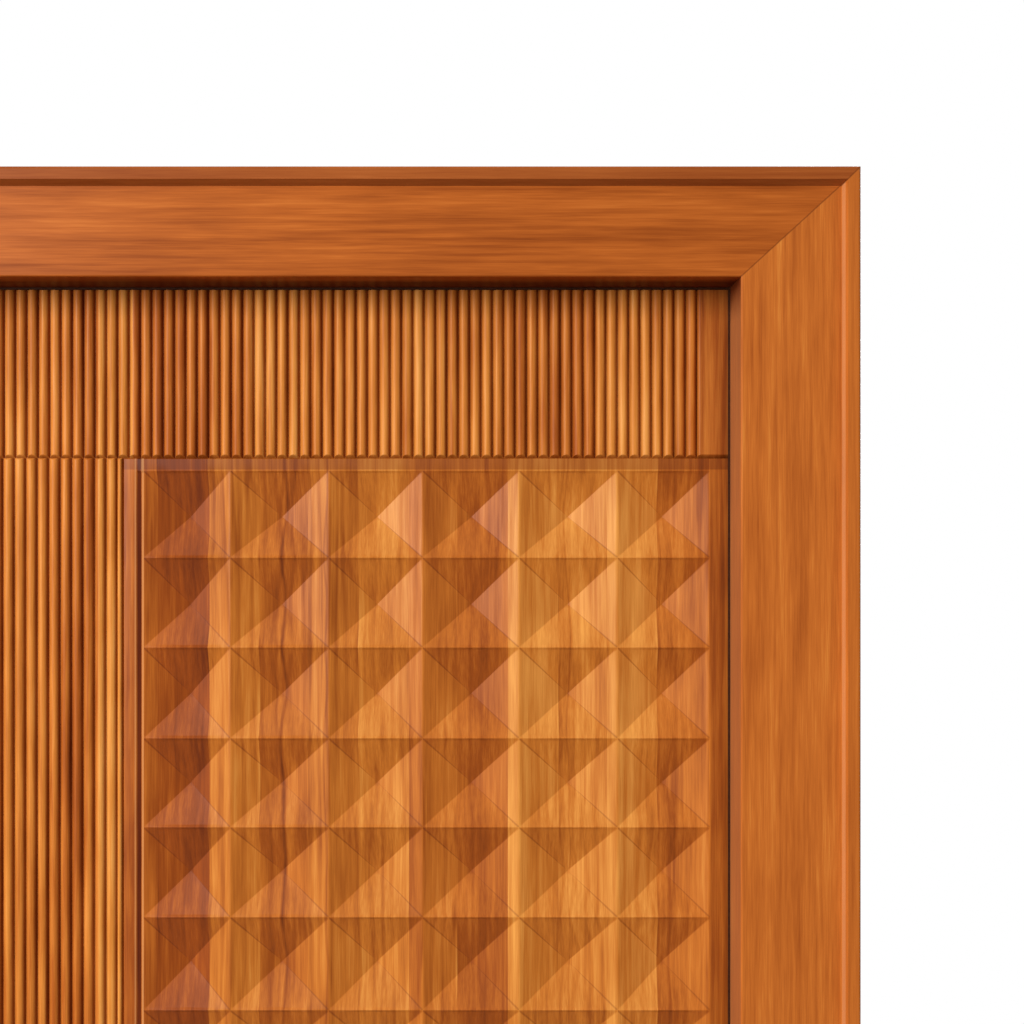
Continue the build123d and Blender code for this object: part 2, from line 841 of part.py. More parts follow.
def key_plug():
    """Outer plug with its keyway."""
    y = (leaf_y - escutcheon_thickness - cylinder_stand, core_middle_y - cam_half_width)
    plug = rod((plug_x, y[0], lock_height), (plug_x, y[1], lock_height), plug_radius)
    way_y = (y[0], y[0] + key_slot_depth)
    return plug - block(around(plug_x, key_slot_width / 2), way_y, around(lock_height, key_slot_height / 2))


def lock_cam():
    """Cam between the plug and the spindle: a hub and a finger with a round tip."""
    y = around(core_middle_y, cam_half_width)
    finger_y = around(core_middle_y, tail_thickness / 2)
    hub = rod((plug_x, y[0], lock_height), (plug_x, y[1], lock_height), cam_hub_radius)
    finger = block(around(0, cam_stem / 2), finger_y, (0, cam_reach))
    finger += rod((0, finger_y[0], cam_reach), (0, finger_y[1], cam_reach), cam_tip_radius)
    return hub + Pos(plug_x, 0, lock_height) * Rot(0, cam_rest_angle, 0) * finger


def thumb_turn():
    """Inner knob: a collar and a flat grip on the spindle that turns the cam."""
    start = core_middle_y + cam_half_width
    collar_y = back_y + escutcheon_thickness + cylinder_stand + cam_slot_play
    spindle = rod((plug_x, start, lock_height), (plug_x, collar_y, lock_height), plug_radius)
    collar = rod((plug_x, collar_y, lock_height), (plug_x, collar_y + knob_collar, lock_height), knob_radius)
    grip_y = (collar_y + knob_collar, collar_y + knob_collar + knob_reach)
    grip = block(around(plug_x, knob_width / 2), grip_y, around(lock_height, knob_length / 2))
    grip = fillet(grip.edges().filter_by(Axis.Y), (knob_width - knob_end_flat) / 2)
    grip = chamfer(grip.faces().sort_by(Axis.Y)[-1].edges(), knob_chamfer)
    return spindle + collar + grip


def escutcheon(y, outward):
    """Round rose over the end of the cylinder."""
    rose = rod((plug_x, y[0], lock_height), (plug_x, y[1], lock_height), escutcheon_radius)
    faces = rose.faces().sort_by(Axis.Y)
    rim = faces[-1] if outward > 0 else faces[0]
    rose = fillet(rim.edges(), escutcheon_rounding)
    return rose - cylinder_profile((y[0] - cut_margin, y[1] + cut_margin), escutcheon_play)


def pull_bar(y):
    """Upright tube of a pull."""
    low, high = around(pull_height, pull_length / 2 - pull_cap)
    tube = rod((pull_x, y, low), (pull_x, y, high), pull_radius)
    return tube - rod((pull_x, y, low), (pull_x, y, high), pull_radius - pull_wall)


def pull_end_caps():
    """Rounded discs that close both tubes."""
    caps = []
    for y in (outer_bar_y, inner_bar_y):
        for side in (-1, 1):
            end = pull_height + side * pull_length / 2
            low, high = sorted((end - side * pull_cap, end))
            cap = rod((pull_x, y, low), (pull_x, y, high), pull_radius)
            rim = cap.faces().sort_by(Axis.Z)[-1 if side > 0 else 0]
            caps.append(fillet(rim.edges(), pull_cap / 2))
    return caps


def pull_posts(bolts):
    """Posts from the leaf to the tubes, each with a flange and a saddle for its tube."""
    posts = []
    for face, bar_y, side in ((leaf_y, outer_bar_y, -1), (back_y, inner_bar_y, 1)):
        for z in post_heights:
            post = rod((pull_x, bar_y, z), (pull_x, face, z), post_radius)
            post += rod((pull_x, face + side * post_flange, z), (pull_x, face, z), post_flange_radius)
            low, high = around(z, 2 * pull_radius)
            post -= rod((pull_x, bar_y, low), (pull_x, bar_y, high), pull_radius)
            posts.append(post - bolts)
    return posts


def pull_bolts():
    """Studs through the leaf that join an outer post to an inner one."""
    y = (leaf_y - pull_bolt_grip, back_y + pull_bolt_grip)
    return [rod((pull_x, y[0], z), (pull_x, y[1], z), pull_bolt_radius) for z in post_heights]


def leaf_holes():
    """Holes through the leaf for the cylinder and the pulls' studs."""
    y = (leaf_y - cut_margin, back_y + cut_margin)
    radius = pull_bolt_radius + pull_bolt_play
    holes = [rod((pull_x, y[0], z), (pull_x, y[1], z), radius) for z in post_heights]
    return holes + [cylinder_profile(y, body_play)]


def frame_nodes():
    """Everything that stays fixed to the wall."""
    dowels = frame_dowels()
    screws = hinge_screws(1)
    outer_band = side_band()
    seal = side_seal()
    nodes = {
        "left_jamb": left_jamb(dowels),
        "right_jamb": right_jamb(dowels, screws),
        "head": head(dowels),
        "sill": sill(dowels),
        "frame_dowels": Compound(dowels),
        "cover_band_left": mirrored(outer_band),
        "cover_band_right": outer_band,
        "cover_band_head": head_band(),
        "seal_left": mirrored(seal),
        "seal_right": seal,
        "seal_head": head_seal(),
        "seal_sill": sill_seal(),
        "strike_plate": strike_plate(),
        "strike_box": strike_box(),
        "strike_screws": Compound(strike_screws()),
        "hinge_bearings": Compound(hinge_bearings()),
        "hinge_frame_screws": Compound(screws),
    }
    for number, z in enumerate(hinge_heights, 1):
        plate = hinge_plate_with_knuckles(z, 1, range(0, knuckle_count, 2), screws)
        nodes[f"hinge_frame_plate_{number}"] = plate
        nodes[f"hinge_pin_{number}"] = hinge_pin(z)
    return nodes


def core_nodes(screws):
    """Stiles, rails, core boards and lippings of the leaf."""
    tenon_heights = []
    rails = ((leaf_bottom, leaf_bottom + rail_height), (leaf_top - rail_height, leaf_top))
    for low, high in rails:
        tenon_heights.append((low + tenon_shoulder, high - tenon_shoulder))
    bottom_rail = rail(rails[0], tenon_heights[0])
    top_rail = rail(rails[1], tenon_heights[1])
    z = (leaf_bottom, leaf_top)
    layer = (core_y, back_panel_y)
    lock_stile = block((-panel_x, -panel_x + lock_stile_width), layer, z)
    lock_stile = lock_stile - bottom_rail - top_rail - lock_pocket() - leaf_holes() - faceplate_screws()
    hinge_stile = block((panel_x - hinge_stile_width, panel_x), layer, z) - bottom_rail - top_rail - screws
    hinge_lipping = lippings(1)
    for height in hinge_heights:
        hinge_lipping -= hinge_recess(height, (leaf_x - hinge_plate, leaf_x))
    nodes = {
        "lock_stile": lock_stile,
        "hinge_stile": hinge_stile,
        "bottom_rail": bottom_rail,
        "top_rail": top_rail,
        "lock_lipping": lippings(-1) - lock_pocket() - faceplate_screws(),
        "hinge_lipping": hinge_lipping - screws,
    }
    for number, board in enumerate(core_boards(), 1):
        nodes[f"core_board_{number}"] = board
    return nodes


def panel_nodes():
    """Carved front panels and plain back panels of the leaf."""
    holes = leaf_holes()
    return {
        "top_reeded_panel": band_panel((upper_joint, leaf_top), upper_joint, upward=False),
        "bottom_reeded_panel": band_panel((leaf_bottom, lower_joint), lower_joint, upward=True),
        "side_reeded_panel": side_panel(holes),
        "diamond_panel": diamond_panel(),
        "back_panel_top": back_panel((upper_joint, leaf_top)),
        "back_panel_middle": back_panel((lower_joint, upper_joint)) - holes,
        "back_panel_bottom": back_panel((leaf_bottom, lower_joint)),
    }


def hardware_nodes(screws):
    """Hinge plates, lock and pulls that ride on the leaf."""
    bolts = pull_bolts()
    nodes = {
        "hinge_door_screws": Compound(screws),
        "lock_case": lock_case(),
        "lock_cover": lock_cover(),
        "lock_faceplate": lock_faceplate(),
        "faceplate_screws": Compound(faceplate_screws()),
        "lock_cylinder": lock_cylinder(),
        "cylinder_screw": cylinder_screw(),
        "outer_escutcheon": escutcheon((leaf_y - escutcheon_thickness, leaf_y), -1),
        "inner_escutcheon": escutcheon((back_y, back_y + escutcheon_thickness), 1),
        "outer_pull_bar": pull_bar(outer_bar_y),
        "inner_pull_bar": pull_bar(inner_bar_y),
        "pull_posts": Compound(pull_posts(bolts)),
        "pull_end_caps": Compound(pull_end_caps()),
        "pull_bolts": Compound(bolts),
    }
    for number, z in enumerate(hinge_heights, 1):
        plate = hinge_plate_with_knuckles(z, -1, range(1, knuckle_count, 2), screws)
        nodes[f"hinge_door_plate_{number}"] = plate
    return nodes


def door_nodes():
    """Every piece of the door by its name."""
    leaf_screws = hinge_screws(-1)
    nodes = frame_nodes()
    nodes.update(core_nodes(leaf_screws))
    nodes.update(panel_nodes())
    nodes.update(hardware_nodes(leaf_screws))
    nodes["deadbolt"] = deadbolt()
    nodes["thumb_turn"] = thumb_turn()
    nodes["lock_cam"] = lock_cam()
    nodes["key_plug"] = key_plug()
    return nodes


os.makedirs("parts", exist_ok=True)
for name, piece in door_nodes().items():
    export_step(piece, f"parts/{name}.step")
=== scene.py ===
"""Looks of a teak entrance door in its frame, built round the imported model. Lengths are metres."""

import math

import bpy
import numpy as np
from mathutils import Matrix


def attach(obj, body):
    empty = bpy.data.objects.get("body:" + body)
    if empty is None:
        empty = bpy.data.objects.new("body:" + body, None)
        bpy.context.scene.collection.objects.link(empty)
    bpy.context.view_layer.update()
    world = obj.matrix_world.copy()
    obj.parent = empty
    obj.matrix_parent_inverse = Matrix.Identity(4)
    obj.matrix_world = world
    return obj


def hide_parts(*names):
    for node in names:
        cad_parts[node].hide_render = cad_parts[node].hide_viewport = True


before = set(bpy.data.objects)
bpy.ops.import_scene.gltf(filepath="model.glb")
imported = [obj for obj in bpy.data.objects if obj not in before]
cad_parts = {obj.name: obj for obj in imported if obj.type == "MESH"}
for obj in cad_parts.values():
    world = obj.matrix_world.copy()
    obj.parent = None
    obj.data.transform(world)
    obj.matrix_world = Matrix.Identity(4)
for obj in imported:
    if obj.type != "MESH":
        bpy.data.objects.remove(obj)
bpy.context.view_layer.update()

# Places of the leaf's front, as in the part's source
LEAF_FRONT = 0.001
PANEL_BACK = 0.023
PANEL_EDGE = 0.502
LEAF_BOTTOM = 0.020
LEAF_TOP = 2.1277
UPPER_JOINT = 1.938
LOWER_JOINT = 0.211
SIDE_JOINT = -0.1377

# Mitres of the frame and of the raised band: an inner and an outer point, across and up
MITRE = ((0.500, 2.117), (0.610, 2.2175))
BAND_MITRE = ((0.518, 2.1255), (0.618, 2.2255))

# Reeds: rise, flat valley and the rounding of the plain strips beside them
REED_DEPTH = 0.0046
REED_VALLEY = 0.0008
STRIP_ROUNDING = 0.0035

# Points on the arc of a reed, on the rounding of a strip and on the bead
REED_POINTS = 13
STRIP_POINTS = 7
BEAD_POINTS = 11

# Reeds of the bands and of the side field: left edge, pitch and count; the bead's two edges
BAND_REEDS = (-0.46766, 0.01197, 78)
SIDE_REEDS = (-0.47143, 0.01209, 27)
SIDE_BEAD = (-0.1450, -0.1388)

# Bevels at the ends of the reeded panels: height and depth
BAND_BEVEL = (0.0040, 0.0046)
EDGE_BEVEL = (0.0015, 0.0015)

# Sunken cells: ridge lines as the carver left them, a little uneven, and the hollows between them
RIDGE_X = (-0.1163, -0.0253, 0.0783, 0.1771, 0.2785, 0.3820, 0.4790)
GRID_TOP = 1.925
CELL_HEIGHT = 0.0945
CELL_ROWS = 18
ROW_DRIFT = (0.0, 0.0031, 0.0031, 0.0021, 0.0030, 0.0029, -0.0004)
CELL_DEPTH = 0.016
NADIR_DROP = 0.003

# Fall over which a ridge is rounded: a level one, an upright one, and both where they cross
LEVEL_EASE = 0.0003
UPRIGHT_EASE = 0.0006
CORNER_EASE = 0.0012

# Steep lip under a level ridge: its drop, and the fall that it takes
RIDGE_LIP = 0.0010
LIP_FALL = 0.0008

# Facet grid: half-cosine places along the rim, and places from the rim, 0, to the lowest point, 1
ALONG_RIM = (1 - np.cos(np.linspace(0, math.pi, 11))) / 2
INWARD = np.array((0, 0.008, 0.017, 0.027, 0.038, 0.05, 0.07, 0.1, 0.15, 0.22, 0.4, 0.65, 0.9, 1))

# Carved panel: distances in from its rounded edge, and its groove's places across and depths
EDGE_STEPS = np.array((0, 0.00015, 0.00045, 0.0009, 0.0015))
GROOVE_X = np.array((-0.1255, -0.1243, -0.1235, -0.1199, -0.1163))
GROOVE_DEPTH = (0, 0.00012, 0.0005, 0.0024, 0)

# Painted light and shade on the top, right, bottom and left facets of a cell: how much paler each
# is painted for the way it faces the light, the top facet painted darkest
FACET_PAINTED_LIGHT = (-0.11, 0.03, 0.04, 0.01)

# Steps in a metre to which corners are rounded when they are welded
WELD_STEPS = 1e5

# Least distance that puts a place past a line
JUST_PAST = 1e-6


def linear(code):
    """Colour of an sRGB hex code as linear red, green and blue, with a full alpha.

    A part is a twelfth of its share of 255 near black, and about its power of 2.4 above.
    """
    parts = [int(code[place : place + 2], 16) / 255 for place in (1, 3, 5)]
    return (*[p / 12.92 if p <= 0.04045 else ((p + 0.055) / 1.055) ** 2.4 for p in parts], 1.0)


def grey(steps):
    """Colour ramp stops in grey from pairs of a place and a value."""
    return [(place, (value, value, value, 1)) for place, value in steps]


def weld(soups):
    """Vertices and faces from loose faces, each given by its own corner points.

    Corners that lie within a hundredth of a millimetre are one vertex, and the third result is the
    loose corner that each vertex was first seen at. A corner that repeats its neighbour is dropped,
    and so is a face that has fewer than three corners left.
    """
    points = np.concatenate([soup.reshape(-1, 3) for soup in soups])
    keys = np.round(points * WELD_STEPS).astype(np.int64)
    _, first, index = np.unique(keys, axis=0, return_index=True, return_inverse=True)
    index = index.reshape(-1)
    faces = []
    start = 0
    for soup in soups:
        count = soup.shape[0] * soup.shape[1]
        corners = index[start : start + count].reshape(soup.shape[:2])
        start += count
        broken = (corners == np.roll(corners, 1, axis=1)).any(axis=1)
        faces += corners[~broken].tolist()
        for face in corners[broken].tolist():
            kept = [c for place, c in enumerate(face) if c != face[place - 1]]
            if len(set(kept)) == len(kept) > 2:
                faces.append(kept)
    return points[first], faces, first


def surface(points):
    """Loose four-cornered faces of a grid of points, given as (..., rows, columns, values).

    They face the side from which the rows run down and the columns to the right.
    """
    corners = (
        points[..., :-1, :-1, :],
        points[..., 1:, :-1, :],
        points[..., 1:, 1:, :],
        points[..., :-1, 1:, :],
    )
    return np.stack(corners, axis=-2).reshape(-1, 4, points.shape[-1])


def board_behind(ring):
    """Sides and flat back of a board whose front ends in a ring of points.

    The ring runs clockwise as seen from the front. A side joins it to its own copy at the board's
    back, and the back is a fan of triangles round the copy's middle.
    """
    following = np.roll(ring, -1, axis=0)
    ring_back = ring.copy()
    ring_back[:, 1] = PANEL_BACK
    following_back = np.roll(ring_back, -1, axis=0)
    middle = np.broadcast_to((ring_back.min(0) + ring_back.max(0)) / 2, ring.shape)
    walls = np.stack((ring, following, following_back, ring_back), axis=1)
    return [walls, np.stack((ring_back, following_back, middle), axis=1)]


def ring_of(front):
    """Outline of a grid of points: first row, last column, last row backwards, first column up."""
    return np.concatenate((front[0], front[1:, -1], front[-1, -2::-1], front[-2:0:-1, 0]))


def add_object(name, mesh, material):
    """An object at the origin that shows a mesh in one material."""
    mesh.materials.append(material)
    made = bpy.data.objects.new(name, mesh)
    bpy.context.scene.collection.objects.link(made)
    return made


def panel(name, soups, node_name, material, crease_degrees, marks=None):
    """A carved panel on the leaf, in place of a node: welded, and smooth up to a crease angle.

    Marks, if given, are two numbers for each loose corner: how far it lies in a crease, from 0 to
    1, where the material paints shade, and how much paler its facet is painted, as painted light
    and shade for the way the facet faces the light.
    """
    vertices, faces, first = weld(soups)
    mesh = bpy.data.meshes.new(name)
    mesh.from_pydata(vertices, [], faces)
    if marks is not None:
        for column, mark in enumerate(("crease", "facet")):
            attribute = mesh.attributes.new(mark, "FLOAT", "POINT")
            attribute.data.foreach_set("value", marks[first, column])
    mesh.polygons.foreach_set("use_smooth", [True] * len(mesh.polygons))
    mesh.set_sharp_from_angle(angle=math.radians(crease_degrees))
    made = add_object(name, mesh, material)
    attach(made, "leaf")
    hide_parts(node_name)


def rounded_edge(distance, radius):
    """Depth below the face at a distance in from an edge that is rounded with a radius.

    It is the radius less the height of a quarter circle.
    """
    inside = np.clip(radius - distance, 0, radius)
    return radius - np.sqrt(radius**2 - inside**2)


def reed_outline(left, right, reeds, bead=None):
    """Front outline of a reeded board from left to right: places across and depths below the face.

    Each reed is an arc of a circle through both valley edges and the crest. Between two reeds runs
    a narrow flat valley. The plain strip on each side rounds down into the valley beside it with a
    quarter of an ellipse, and a bead is a narrow reed on its own at the right-hand end.
    """
    start, pitch, count = reeds
    half = (pitch - REED_VALLEY) / 2
    radius = (half**2 + REED_DEPTH**2) / (2 * REED_DEPTH)
    reach = math.asin(half / radius)
    angles = np.linspace(-reach, reach, REED_POINTS)
    centres = start + (np.arange(count) + 0.5) * pitch
    across = (centres[:, None] + radius * np.sin(angles)).ravel()
    depth = np.tile(radius - radius * np.cos(angles), count)
    quarter = np.linspace(0, math.pi / 2, STRIP_POINTS)
    down = start - STRIP_ROUNDING + STRIP_ROUNDING * np.sin(quarter)
    down_depth = REED_DEPTH * (1 - np.cos(quarter))
    end = start + count * pitch
    if bead is None:
        after = end + STRIP_ROUNDING * (1 - np.cos(quarter))
        after_depth = REED_DEPTH * (1 - np.sin(quarter))
        last_depth = 0.0
    else:
        turn = np.linspace(0, math.pi, BEAD_POINTS)
        after = (bead[0] + bead[1]) / 2 - (bead[1] - bead[0]) / 2 * np.cos(turn)
        after_depth = REED_DEPTH * (1 - np.sin(turn))
        last_depth = REED_DEPTH
    return (
        np.concatenate(([left], down, across, after, [right])),
        np.concatenate(([0.0], down_depth, depth, after_depth, [last_depth])),
    )


def reeded_board(outline, bottom, top, bottom_bevel=None, top_bevel=None):
    """Closed board with one outline all the way up, bevelled at an end if a bevel is given.

    A bevel is (height, depth). At the end itself the front lies at the bevel's depth or the
    outline's own, whichever is deeper. It comes back to the outline where the two meet, which is
    lower in a valley than on a crest.
    """
    across, depth = outline
    rows = []
    for level, bevel, inward in ((top, top_bevel, -1), (bottom, bottom_bevel, 1)):
        edge = [(np.full_like(across, level), depth)]
        if bevel is not None:
            height, bevel_depth = bevel
            meeting = level + inward * height * np.clip(1 - depth / bevel_depth, 0, 1)
            edge = [(edge[0][0], np.maximum(depth, bevel_depth)), (meeting, depth)]
        rows += edge if inward < 0 else edge[::-1]
    front = np.stack([np.column_stack((across, LEAF_FRONT + deep, level)) for level, deep in rows])
    return [surface(front), *board_behind(ring_of(front))]


def cell_facets(ridge_x, ridge_z):
    """Points and marks of the facets of all cells.

    Each cell is four facets that fall from its rim to one lowest point a little below its middle.
    A point of a facet is its rim point times (1 - s) plus the lowest point times s. Its fall is s
    times the cell's depth, and its depth is the fall times (1 - exp(-fall / e)), which rounds the
    rim. The easing e is small along level ridges, larger along upright ones and largest where they
    cross, growing with the fourth power of the distance from the rim's middle. Level ridges also
    have a small steep lip.

    The arrays run over the cells, their sides (top, right, bottom, left), the places inward and
    the places along the rim. A crease is marked on the diagonals through a cell's top left and
    bottom right corners, where a bright facet meets a dark one, and the material paints shade
    there. Each point also carries how much paler its facet is painted, as painted light and shade.
    """
    left, right = np.repeat(ridge_x[:-1], CELL_ROWS), np.repeat(ridge_x[1:], CELL_ROWS)
    top, low = np.tile(ridge_z[:-1], len(ridge_x) - 1), np.tile(ridge_z[1:], len(ridge_x) - 1)
    starts = np.stack((left, top, right, top, right, low, left, low), -1).reshape(-1, 4, 1, 1, 2)
    ends = np.roll(starts, -1, axis=1)
    lowest = np.stack(((left + right) / 2, (top + low) / 2 - NADIR_DROP), -1)
    t, s = ALONG_RIM[:, None], INWARD[:, None, None]
    rim = starts * (1 - t) + ends * t
    flat = rim * (1 - s) + lowest[:, None, None, None, :] * s

    from_middle = (2 * ALONG_RIM - 1) ** 4
    ease = np.array((LEVEL_EASE, UPRIGHT_EASE, LEVEL_EASE, UPRIGHT_EASE))[:, None, None]
    ease = ease + (CORNER_EASE - ease) * from_middle
    fall = CELL_DEPTH * INWARD[:, None]
    depth = fall * (1 - np.exp(-fall / ease))
    lip = RIDGE_LIP * np.array((1, 0, 1, 0))[:, None, None] * (1 - from_middle**0.5)
    depth = depth * (CELL_DEPTH - lip) / CELL_DEPTH + lip * np.minimum(fall / LIP_FALL, 1)
    depth = np.broadcast_to(depth, flat.shape[:-1])

    in_crease = np.zeros(depth.shape)
    for side, end in ((0, 0), (3, -1), (1, -1), (2, 0)):
        in_crease[:, side, :, end] = 1
    in_crease[..., [0, -1], :] = 0
    # Painted light and shade of each facet, by the side of the cell that it is on
    tone = np.broadcast_to(np.array(FACET_PAINTED_LIGHT)[:, None, None], depth.shape)
    points = np.stack((flat[..., 0], LEAF_FRONT + depth, flat[..., 1]), -1)
    return points, np.stack((in_crease, tone), axis=-1)


def carved_margins(ridge_x, ridge_z):
    """Loose faces of the face round the cells, and the ring of points where it ends.

    It is a grid over the whole panel, less what the cells take, with its lines where theirs end.
    Its depth is that of the rounded edge, or of the groove where that is deeper.
    """
    cells_x, cells_z = [
        np.concatenate([a + (b - a) * ALONG_RIM[:-1] for a, b in zip(lines[:-1], lines[1:])])
        for lines in (ridge_x, ridge_z)
    ]
    across = (SIDE_JOINT + EDGE_STEPS, GROOVE_X[:-1], cells_x, ridge_x[-1:], [PANEL_EDGE])
    down = (UPPER_JOINT - EDGE_STEPS, cells_z, ridge_z[-1:], LOWER_JOINT + EDGE_STEPS[::-1])
    x, z = np.meshgrid(np.concatenate(across), np.concatenate(down))
    from_edge = np.minimum.reduce((x - SIDE_JOINT, UPPER_JOINT - z, z - LOWER_JOINT))
    beside_cells = (z < ridge_z[0] - JUST_PAST) & (z > ridge_z[-1] + JUST_PAST)
    groove = np.interp(x, GROOVE_X, GROOVE_DEPTH) * beside_cells
    depth = np.maximum(rounded_edge(from_edge, EDGE_STEPS[-1]), groove)
    margins = np.stack((x, LEAF_FRONT + depth, z), -1)
    loose = surface(margins)
    middle = loose.mean(axis=1)
    in_cells = (middle[:, 0] > ridge_x[0]) & (middle[:, 0] < ridge_x[-1])
    in_cells &= (middle[:, 2] < ridge_z[0]) & (middle[:, 2] > ridge_z[-1])
    return loose[~in_cells], ring_of(margins)


def carved_board():
    """Closed board with the sunken cells, and its marks, which are zero outside the facets."""
    ridge_x = np.array(RIDGE_X)
    ridge_z = GRID_TOP - CELL_HEIGHT * np.arange(CELL_ROWS + 1)
    ridge_z[: len(ROW_DRIFT)] += ROW_DRIFT
    facets, facet_marks = cell_facets(ridge_x, ridge_z)
    margins, ring = carved_margins(ridge_x, ridge_z)
    soups = [margins, surface(facets), *board_behind(ring)]
    marks = [np.zeros((soup.shape[0] * soup.shape[1], 2)) for soup in soups]
    marks[1] = surface(facet_marks).reshape(-1, 2)
    return soups, np.concatenate(marks)


def node(tree, kind, *values, stops=(), sockets=(), **settings):
    """Adds one shader node with its settings, and sets or links its inputs.

    The values go to the inputs in their order, and None leaves one as it is; sockets holds more of
    them by name. A value may be a number, a tuple, another node or its socket. Stops are a colour
    ramp's places and colours.
    """
    made = tree.nodes.new("ShaderNode" + kind)
    for name, value in settings.items():
        setattr(made, name, value)
    for place, (position, colour) in enumerate(stops):
        ramp = made.color_ramp.elements
        stop = ramp[place] if place < len(ramp) else ramp.new(position)
        stop.position = position
        stop.color = colour
    for key, value in [*enumerate(values), *dict(sockets).items()]:
        if value is None:
            continue
        if isinstance(value, bpy.types.Node):
            value = value.outputs[0]
        if isinstance(value, bpy.types.NodeSocket):
            tree.links.new(value, made.inputs[key])
        else:
            made.inputs[key].default_value = value
    return made


# Noises of the wood, each with its steps in a metre across, in depth and along the grain, and its
# detail: a flame is about 22 mm wide and 110 mm long, and a streak 4.5 mm by 150 mm. A fibre is
# drawn a millimetre wide, five times a real one, so that it shows.
WOOD_NOISES = {
    "bend": ((13, 13, 1.7), 2.0),
    "ring_patch": ((9, 9, 2.2), 1.0),
    "band": ((36, 14, 1.5), 3.0),
    "flame": ((45, 18, 9), 2.0),
    "streak": ((220, 50, 6.5), 4.0),
    "fibre": ((1000, 300, 32), 2.0),
}

# Value that the noises lie about, and a fibre's share of the relief beside a streak's
NOISE_MEAN = 0.5
FIBRE_RELIEF = 0.5

# How far apart the noises lie across, and how a stave's seed moves its own piece of them
NOISE_SHIFT = 3.7
STAVE_SHIFT = (3.0, 1.0, 23.0)
SEED_STEP = 0.37

# Veins wander slowly along the grain
VEIN_SCALE = (0.1, 0.1, 7.0)
VEIN_DETAIL = 1.5

# Dark late wood ends sharply on one side of a ring and fades on the other
RING_LINE = ((0.0, 0.15), (0.45, 0.3), (0.82, 1.0), (0.9, 0.85), (1.0, 0.15))

# Rings are faint below the first value of their patch noise and full above the second
RING_PATCHES = (0.38, 0.68, 0.15, 1.0)

# Brightness before the patterns, and the share of the rings' strength that they take on average
MIDDLE_TONE = 0.5
RING_MEAN = 0.4

# Tones that boards differ by; of painted shade in valleys, creases, the groove, corners and beside
# the jamb, also used to darken the margin above the cells; and of painted shade under the head
REDDER_TONE = "#e6a583"
PAINTED_SHADE_TONE = "#7e3f17"
SOFFIT_SHADE_TONE = "#5c2e12"

# Glue line of a mitre: distance at which it starts to fade and is gone, its strength and tone
GLUE_LINE = (0.0003, 0.0009, 0.55, 0.0)
GLUE_TONE = "#5c2a10"

# Range of a noise that moves the roughness and how far, with the strength and depth of the relief
NOISE_RANGE = (0.3, 0.7)
TEAK_RELIEF = {"waver": 0.05, "strength": 0.25, "depth": 0.0003}

# What a teak finish may change: the rings' width in metres, their bend and strength; the strength
# of the other patterns; veins (place, half width, sway, tone); whether the mesh marks its creases
# and its facets' painted light and shade; layers of painted shade and painted highlight (strength,
# blend, tone, ranges of places); the frame's mitre; the varnish
TEAK_LOOKS = {
    "ring_width": 0.011,
    "ring_bend": 4.0,
    "ring": 0.3,
    "streak": 0.5,
    "fibre": 0.3,
    "band": 0.5,
    "flame": 0.2,
    "veins": (),
    "creased": False,
    "layers": (),
    "mitre": None,
    "roughness": 0.42,
    "specular": 0.12,
}


def new_material(name):
    """An empty node material: its tree, its shader and its object coordinates."""
    material = bpy.data.materials.new(name)
    material.use_nodes = True
    tree = material.node_tree
    return material, tree, tree.nodes["Principled BSDF"], node(tree, "TexCoord").outputs["Object"]


def dress(tree, shader, colour, pattern, roughness, height, waver, strength, depth, specular):
    """Gives a shader its colour, a roughness that falls as a pattern rises, and a fine relief."""
    tree.links.new(colour.outputs[0], shader.inputs["Base Color"])
    rough = node(tree, "MapRange", pattern, *NOISE_RANGE, roughness + waver, roughness - waver)
    tree.links.new(rough.outputs[0], shader.inputs["Roughness"])
    shader.inputs["Specular IOR Level"].default_value = specular
    relief = node(tree, "Bump", sockets={"Strength": strength, "Distance": depth, "Height": height})
    tree.links.new(relief.outputs[0], shader.inputs["Normal"])


def stave_values(tree, across, staves):
    """Tone, redness and seed of the stave at a place across, from a ramp with a step for each."""
    first, last = staves[0][0], staves[-1][0]
    share = node(tree, "MapRange", across, first, last)
    stops = [
        ((edge - first) / (last - first), (tone, redness, (SEED_STEP * count) % 1, 1))
        for count, (edge, tone, redness) in enumerate(staves[:-1])
    ]
    table = node(tree, "ValToRGB", share, stops=stops)
    table.color_ramp.interpolation = "CONSTANT"
    return node(tree, "SeparateColor", table).outputs


def grain_value(tree, board, value, look):
    """Adds the grain to a brightness. Returns it, and the noises by name.

    A ring is the fractional part of the place across over the ring's width plus a bent noise. Its
    dark line counts for more in some patches. The other patterns are noises less a half, each
    times its strength.
    """
    noises = {}
    for count, (pattern, (scale, detail)) in enumerate(WOOD_NOISES.items()):
        stretched = node(tree, "Mapping", board, (NOISE_SHIFT * count, 0, 0), None, scale)
        detailed = {"Scale": 1.0, "Detail": detail}
        noises[pattern] = node(tree, "TexNoise", stretched, sockets=detailed)
    bend = node(tree, "Math", noises["bend"], look["ring_bend"], operation="MULTIPLY")
    side = node(tree, "SeparateXYZ", board).outputs[0]
    rings = node(tree, "Math", side, 1 / look["ring_width"], bend, operation="MULTIPLY_ADD")
    ring_share = node(tree, "Math", rings, operation="FRACT")
    ring_line = node(tree, "ValToRGB", ring_share, stops=grey(RING_LINE))
    ring_force = node(tree, "MapRange", noises["ring_patch"], *RING_PATCHES)
    ring_dark = node(tree, "Math", ring_line, ring_force, operation="MULTIPLY")
    value = node(tree, "Math", ring_dark, -look["ring"], value, operation="MULTIPLY_ADD")
    for pattern in ("band", "flame", "streak", "fibre"):
        centred = node(tree, "Math", noises[pattern], NOISE_MEAN, operation="SUBTRACT")
        value = node(tree, "Math", centred, look[pattern], value, operation="MULTIPLY_ADD")
    return value, noises


